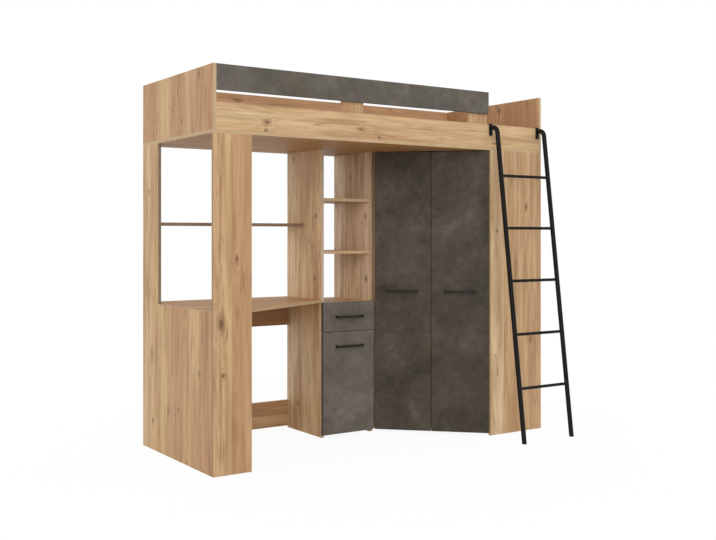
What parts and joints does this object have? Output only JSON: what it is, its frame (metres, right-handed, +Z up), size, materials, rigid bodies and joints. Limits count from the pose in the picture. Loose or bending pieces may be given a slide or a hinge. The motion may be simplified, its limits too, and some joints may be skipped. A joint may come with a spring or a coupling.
{
  "type": "loft bed",
  "caption": "High loft bed in oak and concrete boards over a desk, open shelves, a drawer and door cabinet and a corner wardrobe, with a black steel ladder.",
  "frame": {"origin": "on the floor, under the middle of the part's own bounding box, the leaning ladder's feet included", "axes": "+X along the bed to the right as seen from the desk side, +Y from the front to the rear, +Z up"},
  "size_m": [2.036, 1.1076, 1.868],
  "materials": {
    "oak_board": "matt oak laminate",
    "concrete_board": "matt concrete laminate",
    "dark_board": "matt dark concrete laminate",
    "back_board": "bare thin board",
    "handle_black": "matt black",
    "black_steel": "satin black powder coat",
    "black_plastic": "matt",
    "zinc_steel": "zinc plated"
  },
  "bodies": {
    "frame": {"left_front_post": "oak_board", "left_rear_post": "oak_board", "left_side_panel": "oak_board", "divider_left": "oak_board", "divider_right": "oak_board", "front_right_panel": "oak_board", "right_side_panel": "oak_board", "hinge_stile_left": "oak_board", "hinge_stile_right": "oak_board", "desk_top": "oak_board", "desk_back_brace": "oak_board", "floor_brace": "oak_board", "desk_shelf": "oak_board", "cabinet_top": "oak_board", "cabinet_bottom": "oak_board", "cabinet_shelf": "oak_board", "column_shelf_lower": "oak_board", "column_shelf_upper": "oak_board", "cabinet_back": "back_board", "wardrobe_back": "back_board", "wardrobe_bottom": "oak_board", "wardrobe_shelf": "oak_board", "hanging_rail": "zinc_steel", "hanging_rail_sockets": "zinc_steel", "deck_front": "oak_board", "deck_rear": "oak_board", "end_panel_left": "oak_board", "end_panel_right": "oak_board", "bed_back_panel": "oak_board", "front_rail": "oak_board", "safety_rail": "concrete_board", "rail_upright_left": "oak_board", "rail_upright_right": "oak_board", "cam_locks": "zinc_steel", "cam_bolts": "zinc_steel", "board_screws": "zinc_steel", "shelf_pins": "zinc_steel", "drawer_tracks": "zinc_steel", "cabinet_hinge_arms": "zinc_steel", "wardrobe_hinge_arms": "zinc_steel"},
    "drawer": {"drawer_front": "concrete_board", "drawer_sides": "back_board", "drawer_back": "back_board", "drawer_bottom": "back_board", "drawer_handle": "handle_black", "drawer_fittings": "zinc_steel"},
    "cabinet_door": {"cabinet_door": "concrete_board", "cabinet_door_handle": "handle_black", "cabinet_door_fittings": "zinc_steel"},
    "wardrobe_door_left": {"wardrobe_door_left": "dark_board", "wardrobe_handle_left": "handle_black", "wardrobe_fittings_left": "zinc_steel"},
    "wardrobe_door_right": {"wardrobe_door_right": "dark_board", "wardrobe_handle_right": "handle_black", "wardrobe_fittings_right": "zinc_steel"},
    "ladder": {"ladder_stile_left": "black_steel", "ladder_stile_right": "black_steel", "ladder_rungs": "black_steel", "ladder_hooks": "black_steel", "ladder_feet": "black_plastic"}
  },
  "joints": [
    {"name": "drawer_slide", "type": "slide", "parent": "frame", "child": "drawer", "axis": [0, -1, 0], "range_m": [0, 0.3]},
    {"name": "cabinet_door_hinge", "type": "hinge", "parent": "frame", "child": "cabinet_door", "pos_m": [-0.156, 0.1678, 0.29], "axis": [0, 0, 1], "range_deg": [-95, 0]},
    {"name": "wardrobe_left_hinge", "type": "hinge", "parent": "frame", "child": "wardrobe_door_left", "pos_m": [0.182, 0.1658, 0.7825], "axis": [0, 0, 1], "range_deg": [-95, 0]},
    {"name": "wardrobe_right_hinge", "type": "hinge", "parent": "frame", "child": "wardrobe_door_right", "pos_m": [0.626, -0.2782, 0.7825], "axis": [0, 0, 1], "range_deg": [0, 95]},
    {"name": "ladder_lift", "type": "slide", "parent": "frame", "child": "ladder", "axis": [0, 0, 1], "range_m": [0, 0.06]}
  ]
}
